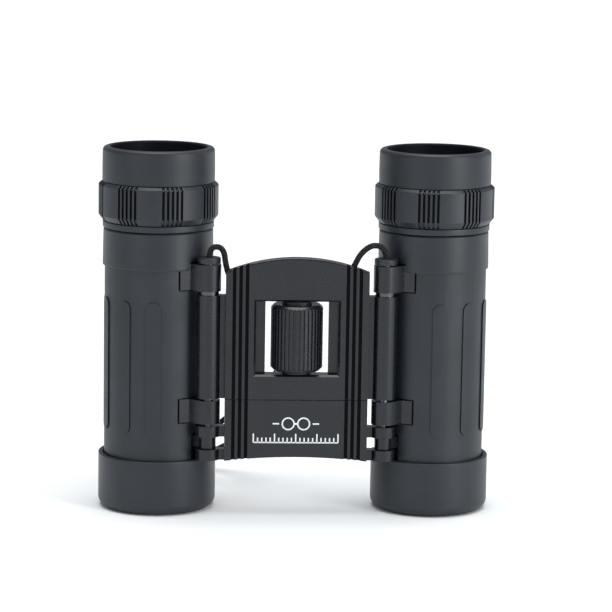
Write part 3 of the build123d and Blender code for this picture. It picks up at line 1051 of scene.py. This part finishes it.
# ------------------------------------------------------------------ the bridge
@dataclass
class FocusWheel:
    """The fluted focus wheel."""

    radius: float = 6.4
    flutes: int = 36
    flute_share: float = 0.45
    depth: float = 0.42
    bore: float = 3.6
    ends: float = 0.75

    def build(self, finishes: Finishes) -> None:
        """Turns the wheel, then presses its flutes.

        Args:
            finishes: every finish, by name.
        """
        low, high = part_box("focus_wheel")
        axis = (low + high) / 2
        bottom, top = low.z / MM, high.z / MM
        profile = [(self.bore, bottom), (self.radius - self.ends, bottom), (self.radius, bottom + self.ends),
                   (self.radius, top - self.ends), (self.radius - self.ends, top), (self.bore, top)]
        piece = Bench.turn("focus_wheel_turned", axis, profile, self.flutes * 4)
        Bench.take(piece)
        bpy.ops.object.mode_set(mode="EDIT")
        step = 2 * pi / self.flutes

        def in_flute(centre: Vector, normal: Vector) -> bool:
            """True for the outside faces of a flute.

            Args:
                centre: the face's middle.
                normal: the face's normal.

            Returns:
                True for a face that passes.
            """
            out = centre - axis
            if out.xy.length / MM < self.radius - 0.2 or abs(normal.z) > 0.3:
                return False
            share = (Vector((1, 0)).angle_signed(Vector((out.x, -out.y))) / step) % 1
            return share < self.flute_share

        Bench.pick_faces(piece, in_flute)
        bpy.ops.mesh.extrude_region_shrink_fatten(TRANSFORM_OT_shrink_fatten={"value": -self.depth * MM})
        Bench.round_edges(piece, 0.09, 25)
        finishes.put(piece, "gloss_plastic")
        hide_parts("focus_wheel")
        deliver(piece, "focus_wheel")


@dataclass
class PlateMark:
    """The white print on the focus plate: a two-ring sign over a tick scale."""

    sign_z: float = 23.5
    ring: float = 1.45
    line: float = 0.34
    scale_z: tuple[float, float] = (18.8, 21.0)
    half: float = 10.4
    ticks: int = 21
    proud: float = 0.02

    def build(self, finishes: Finishes) -> None:
        """Lays the print on the front of the plate.

        Args:
            finishes: every finish, by name.
        """
        low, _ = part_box("focus_plate")
        face_y = low.y - self.proud * MM
        strokes = [self.ring_stroke(x, face_y) for x in (-1.9, 1.9)]
        strokes += [self.bar(0.0, self.sign_z, 0.9, self.line * 1.3, face_y),
                    self.bar(-4.9, self.sign_z, 1.6, self.line, face_y),
                    self.bar(4.9, self.sign_z, 1.6, self.line, face_y),
                    self.bar(0.0, self.scale_z[0], 2 * self.half, 0.3, face_y)]
        for k in range(self.ticks):
            x = -self.half + 2 * self.half * k / (self.ticks - 1)
            tall = (self.scale_z[1] - self.scale_z[0]) * (1.0 if k % 5 == 0 else 0.55)
            strokes.append(self.bar(x, self.scale_z[0] + tall / 2, 0.32, tall, face_y))
        Bench.clear()
        for stroke in strokes:
            stroke.select_set(True)
        bpy.context.view_layer.objects.active = strokes[0]
        bpy.ops.object.join()
        mark = bpy.context.object
        mark.name = "plate_mark"
        finishes.put(mark, "white_ink")
        deliver(mark, "focus_plate")

    def bar(self, x: float, z: float, width: float, tall: float, y: float) -> bpy.types.Object:
        """A printed stroke, in millimetres across and up.

        Args:
            x: its middle across.
            z: its middle up.
            width: its size across.
            tall: its size up.
            y: how far back it lies, in metres.

        Returns:
            The stroke.
        """
        Bench.clear()
        bpy.ops.mesh.primitive_cube_add(size=1.0, location=(x * MM, y, z * MM),
                                        scale=(width * MM, 2 * self.proud * MM, tall * MM))
        bpy.ops.object.transform_apply(location=True, rotation=True, scale=True)
        return bpy.context.object

    def ring_stroke(self, x: float, y: float) -> bpy.types.Object:
        """A printed ring.

        Args:
            x: its middle across.
            y: how far back it lies, in metres.

        Returns:
            The ring.
        """
        Bench.clear()
        bpy.ops.mesh.primitive_torus_add(
            location=(x * MM, y, self.sign_z * MM), rotation=(pi / 2, 0, 0),
            major_segments=40, minor_segments=6, major_radius=self.ring * MM, minor_radius=self.line / 2 * MM)
        bpy.ops.object.transform_apply(location=True, rotation=True, scale=True)
        bpy.ops.object.mode_set(mode="EDIT")
        bpy.ops.mesh.select_all(action="SELECT")
        bpy.ops.transform.resize(value=(1, 2 * self.proud / self.line, 1), center_override=(x * MM, y, 0))
        bpy.ops.object.mode_set(mode="OBJECT")
        return bpy.context.object


@dataclass
class Bridge:
    """The bridge between the tubes, its focus wheel and its focus plate."""

    grooves_from: float = 11.7
    grooves_to: float = 16.0
    groove_sunk: tuple[float, float] = (0.08, 0.75)

    def build(self, finishes: Finishes) -> None:
        """Builds the bridge's pieces.

        Args:
            finishes: every finish, by name.
        """
        FocusWheel().build(finishes)
        front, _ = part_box("focus_plate")

        def is_groove(centre: Vector, normal: Vector) -> bool:
            """True for the walls and floors of the upright grooves in the bridge's front.

            Args:
                centre: the face's middle.
                normal: the face's normal.

            Returns:
                True for a face that passes.
            """
            sunk = (centre.y - front.y) / MM
            across = abs(centre.x) / MM
            shallowest, deepest = self.groove_sunk
            in_band = self.grooves_from < across < self.grooves_to
            return in_band and shallowest < sunk < deepest and abs(normal.z) < 0.5

        shells = [
            ("bridge_cover", 0.12, "gloss_plastic", "bridge"),
            ("bridge_frame", 0.2, "gloss_plastic", "bridge"),
            ("focus_plate", 0.12, "gloss_plastic", "focus_plate"),
            ("focus_hub", 0.15, "inner_plastic", "focus_wheel"),
        ]
        for name, width, finish, body in shells:
            piece = Bench.soften(name, width)
            finishes.put(piece, finish)
            if name in ("bridge_cover", "focus_plate"):
                # painted shade: the upright grooves of the bridge cover and the focus plate take the darker
                # finish
                darken_where(piece, finishes, "recess", is_groove)
            deliver(piece, body)
        PlateMark().build(finishes)


def main() -> None:
    """Builds the studio, the cord and the glasses."""
    finishes = Finishes()
    finishes.dress_nodes()
    Studio().build()
    NeckCord().build(finishes)
    for side in Side:
        Tube(side).build(finishes)
    Bridge().build(finishes)
    Bench.clear()


if __name__ == "__main__":
    main()
